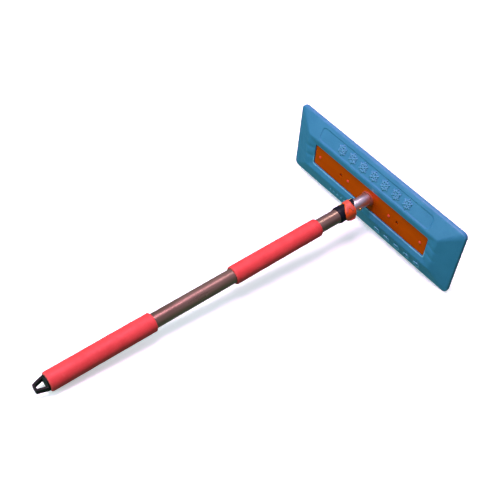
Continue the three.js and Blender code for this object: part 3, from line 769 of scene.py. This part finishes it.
def grip_foam_finish():
    """Ground foam rubber: matt, with open pores, a slight mottle and a little dust."""
    finish = Finish("red_foam_rubber", roughness=0.6, specular=0.35)
    tone = finish.ramp(finish.noise(26, 3), 0.3, 0.7)
    colour = finish.blend(tone, linear(192, 50, 49), linear(204, 60, 59))
    pores = finish.ramp(finish.cells(0.85), 0.0, 0.3, 0.55, 0.0)
    colour = finish.blend(pores, colour, linear(168, 30, 34))
    dust = finish.ramp(finish.noise(7, 5), 0.6, 0.76, 0.0, 0.1)
    colour = finish.blend(dust, colour, linear(240, 120, 116))
    finish.drive("Base Color", colour)
    finish.drive("Roughness", finish.ramp(finish.noise(12, 4), 0.25, 0.75, 0.52, 0.7))
    finish.bump(finish.cells(0.85), 0.1)
    finish.bump(finish.noise(2.2, 3), 0.05)
    return finish


def moulded_plastic(name, dark, light, worn, roughness, specular, grain_depth, flow_size):
    """Injection-moulded plastic: tones that follow the flow, fine grain and scratches."""
    finish = Finish(name, roughness=roughness, specular=specular)
    flow = finish.ramp(finish.noise(flow_size, 3, stretch=(3, 1, 1), distortion=0.8), 0.3, 0.7)
    colour = finish.blend(flow, linear(*dark), linear(*light))
    specks = finish.ramp(finish.cells(2.3), 0.0, 0.12, 0.35, 0.0)
    colour = finish.blend(specks, colour, linear(*dark))
    hairlines = finish.noise(1.1, 2, stretch=(14, 0.5, 3), distortion=1.2)
    colour = finish.blend(finish.ramp(hairlines, 0.71, 0.77, 0.0, 0.3), colour, linear(*worn))
    finish.drive("Base Color", colour)
    finish.colour = colour
    patches = finish.ramp(finish.noise(7, 4), 0.25, 0.75, roughness - 0.07, roughness + 0.09)
    finish.drive("Roughness", patches)
    finish.bump(finish.noise(0.45, 2), grain_depth)
    finish.bump(finish.noise(6, 2), 0.08)
    return finish


def plate_finish():
    """The plate's plastic, with a painted pinkish-brown highlight on the tube socket and a painted
    red-orange highlight beside it.
    """
    finish = moulded_plastic(
        "plate_orange_plastic", (170, 60, 0), (181, 66, 0), (190, 98, 30), 0.5, 0.02, 0.03, 22)
    # Painted highlight: a red-orange spot beside the tube, fading out from its middle.
    away = finish.node("VectorMath", {0: finish.place, 1: PAINTED_GLOW_SPOT}, operation="DISTANCE")
    red = finish.ramp(away.outputs["Value"], 4, 15, 0.8, 0.0)
    colour = finish.blend(red, finish.colour, linear(214, 50, 26))
    # Painted highlight: the tube socket and everything above the plate's face is painted pinkish
    # brown.
    parts = finish.axes()
    socket = finish.ramp(parts["Z"], 0.4, BOSS["fillet"])
    finish.drive("Base Color", finish.blend(socket, colour, linear(152, 76, 62)))
    return finish


def lever_finish():
    """The lever's plastic, painted paler on its raised lobes and along its lip, partly as wear and
    partly as painted highlight.
    """
    finish = moulded_plastic(
        "lever_orange_nylon", (208, 74, 22), (220, 82, 28), (222, 116, 86), 0.36, 0.35, 0.02, 9)
    parts = finish.axes()
    squares = [finish.maths("MULTIPLY", parts[axis], parts[axis]) for axis in "XY"]
    radius = finish.maths("SQRT", finish.maths("ADD", *squares))
    face = LEVER_FACE["radius"]
    high = finish.ramp(radius, face + LEVER_FACE["raised"] * 0.3, face + LEVER_FACE["raised"])
    patchy = finish.ramp(finish.noise(5, 4), 0.2, 0.6, 0.8, 1.0)
    # Painted highlight with wear: raised lobes and lip are painted paler and pinker, in patches.
    rubbed_and_lit = finish.maths("MULTIPLY", high, patchy)
    finish.drive("Base Color", finish.blend(rubbed_and_lit, finish.colour, linear(186, 80, 64)))
    return finish


def drawn_metal(name, dark, light, roughness, metallic, line_depth):
    """Drawn metal: fine lines along the pole, long rubs, dull patches and small knocks."""
    finish = Finish(name, roughness=roughness, metallic=metallic)
    lines = finish.noise(0.35, 3, stretch=(1, 1, 160))
    tone = finish.ramp(finish.noise(9, 3, stretch=(1, 1, 9)), 0.3, 0.7)
    colour = finish.blend(tone, linear(*dark), linear(*light))
    colour = finish.blend(finish.ramp(lines, 0.35, 0.75, 0.0, 0.3), colour, linear(*light))
    knocks = finish.ramp(finish.noise(2.4, 4), 0.7, 0.76, 0.0, 0.6)
    colour = finish.blend(knocks, colour, linear(*dark))
    finish.drive("Base Color", colour)
    smear = finish.noise(16, 4, stretch=(1, 1, 4))
    finish.drive("Roughness", finish.ramp(smear, 0.25, 0.75, roughness - 0.06, roughness + 0.1))
    finish.bump(lines, line_depth)
    finish.bump(knocks, 0.03)
    return finish


# ---- Stage, lights and camera ---------------------------------------------------------

def studio_paint(name, shade, glow):
    """Matt paint that shines a little, so that it stays pale far from the lights."""
    paint = Finish(name, roughness=0.85, specular=0.2)
    paint.drive("Base Color", paint.blend(
        paint.noise(900, 2), linear(*[shade - 3] * 3), linear(*[shade] * 3)))
    paint.shader.inputs["Emission Color"].default_value = linear(250, 250, 252)
    paint.shader.inputs["Emission Strength"].default_value = glow
    return paint.material


def backdrop(name, shape, shade, glow):
    """Part of the room that the camera sees, but that throws no light on the tool."""
    wall = new_object(name, shape)
    wall.data.materials.append(studio_paint(name + "_paint", shade, glow))
    wall.visible_glossy = False
    wall.visible_diffuse = False
    return wall


def room():
    """A pale floor with a pale dome over it."""
    reach = ROOM["reach"]
    corners = [(-reach, -reach, 0), (reach, -reach, 0), (reach, reach, 0), (-reach, reach, 0)]
    backdrop("floor", (corners, [[0, 1, 2, 3]]), 250, ROOM["floor_glow"])
    rise = [polar(reach, angle) for angle in range(0, 90, 6)]
    dome_shape = turned([(0, -0.5), (reach, -0.5), *rise, (0, reach)])
    dome = backdrop("dome", dome_shape, 90, ROOM["dome_glow"])
    dome.visible_shadow = False


def sky():
    """Soft light from all round, green-blue from the sides and below, violet from above."""
    world = bpy.data.worlds.new("pale_room")
    bpy.context.scene.world = world
    world.use_nodes = True
    tree = world.node_tree
    coordinates = tree.nodes.new("ShaderNodeTexCoord")
    parts = tree.nodes.new("ShaderNodeSeparateXYZ")
    tree.links.new(coordinates.outputs["Generated"], parts.inputs["Vector"])
    ramp = tree.nodes.new("ShaderNodeValToRGB")
    ramp.color_ramp.elements[0].color = SKY["horizon"]
    ramp.color_ramp.elements[1].color = SKY["zenith"]
    tree.links.new(parts.outputs["Z"], ramp.inputs["Fac"])
    tree.links.new(ramp.outputs["Color"], tree.nodes["Background"].inputs["Color"])


def softboxes():
    """The rectangular lights, each facing its aim."""
    for name, settings in LIGHTS.items():
        light = bpy.data.lights.new(name, "AREA")
        light.shape = "RECTANGLE"
        light.size, light.size_y = settings["size"]
        light.energy = settings["power"]
        light.color = settings["tint"]
        lamp = bpy.data.objects.new(name, light)
        lamp.location = settings["at"]
        facing = Vector(settings["aim"]) - Vector(settings["at"])
        lamp.rotation_euler = facing.to_track_quat("-Z", "Y").to_euler()
        bpy.context.scene.collection.objects.link(lamp)


def camera():
    """The viewpoint, high above the pole and on the snap button's side."""
    lens = bpy.data.cameras.new("camera")
    lens.lens = LENS["length"]
    lens.sensor_width = LENS["sensor"]
    viewpoint = bpy.data.objects.new("camera", lens)
    turn = Euler([math.radians(angle) for angle in CAMERA["turn"]])
    place = TOOL @ Vector(CAMERA["at"])
    viewpoint.matrix_world = Matrix.Translation(place) @ (TOOL_TURN @ turn.to_matrix()).to_4x4()
    bpy.context.scene.collection.objects.link(viewpoint)
    bpy.context.scene.camera = viewpoint


def paint_frame_nodes(finishes):
    """Finishes for the frame's own pieces that stay as they are."""
    for node, finish in finishes.items():
        mesh = frame["nodes"][node].data
        mesh.materials.clear()
        mesh.materials.append(finish.material)


# ---- Build ----------------------------------------------------------------------------

lever_orange = lever_finish()
plate_orange = plate_finish()
rivet_orange = moulded_plastic(
    "rivet_orange_plastic", (206, 54, 38), (218, 64, 48), (230, 120, 100), 0.4, 0.3, 0.01, 3)
collar_black = moulded_plastic(
    "collar_black_nylon", (5, 7, 16), (10, 13, 26), (46, 52, 66), 0.5, 0.15, 0.035, 8)
cap_black = moulded_plastic(
    "cap_black_plastic", (7, 8, 8), (14, 15, 16), (54, 56, 58), 0.5, 0.15, 0.03, 8)
nylon = moulded_plastic(
    "plain_nylon", (196, 194, 186), (214, 212, 204), (232, 231, 226), 0.5, 0.4, 0.02, 6)
bronze = drawn_metal("bronze_tube", (108, 84, 70), (140, 114, 100), 0.3, 0.7, 0.006)
silver = drawn_metal("bright_tube", (206, 198, 196), (226, 218, 216), 0.38, 1.0, 0.006)
steel = drawn_metal("spring_steel", (150, 148, 144), (186, 183, 178), 0.28, 1.0, 0.004)
brass = drawn_metal("brass", (178, 140, 74), (214, 180, 112), 0.24, 1.0, 0.004)

bpy.context.scene.view_settings.view_transform = "Standard"
camera()
room()
sky()
softboxes()
foam_head(head_foam_finish())
backing_plate(plate_orange)
plate_rivets(rivet_orange)
outer_tube(bronze)
inner_tube(silver)
grip_finish = grip_foam_finish()
for grip_place in GRIP_STARTS:
    foam_grip(grip_place, grip_finish)
clamp(collar_black, lever_orange)
hang_cap(cap_black)
metal_fasteners(steel, brass)
paint_frame_nodes({
    "inner_end_plug": cap_black, "guide_ring": nylon, "clamp_pad": nylon, "snap_spring": steel,
})
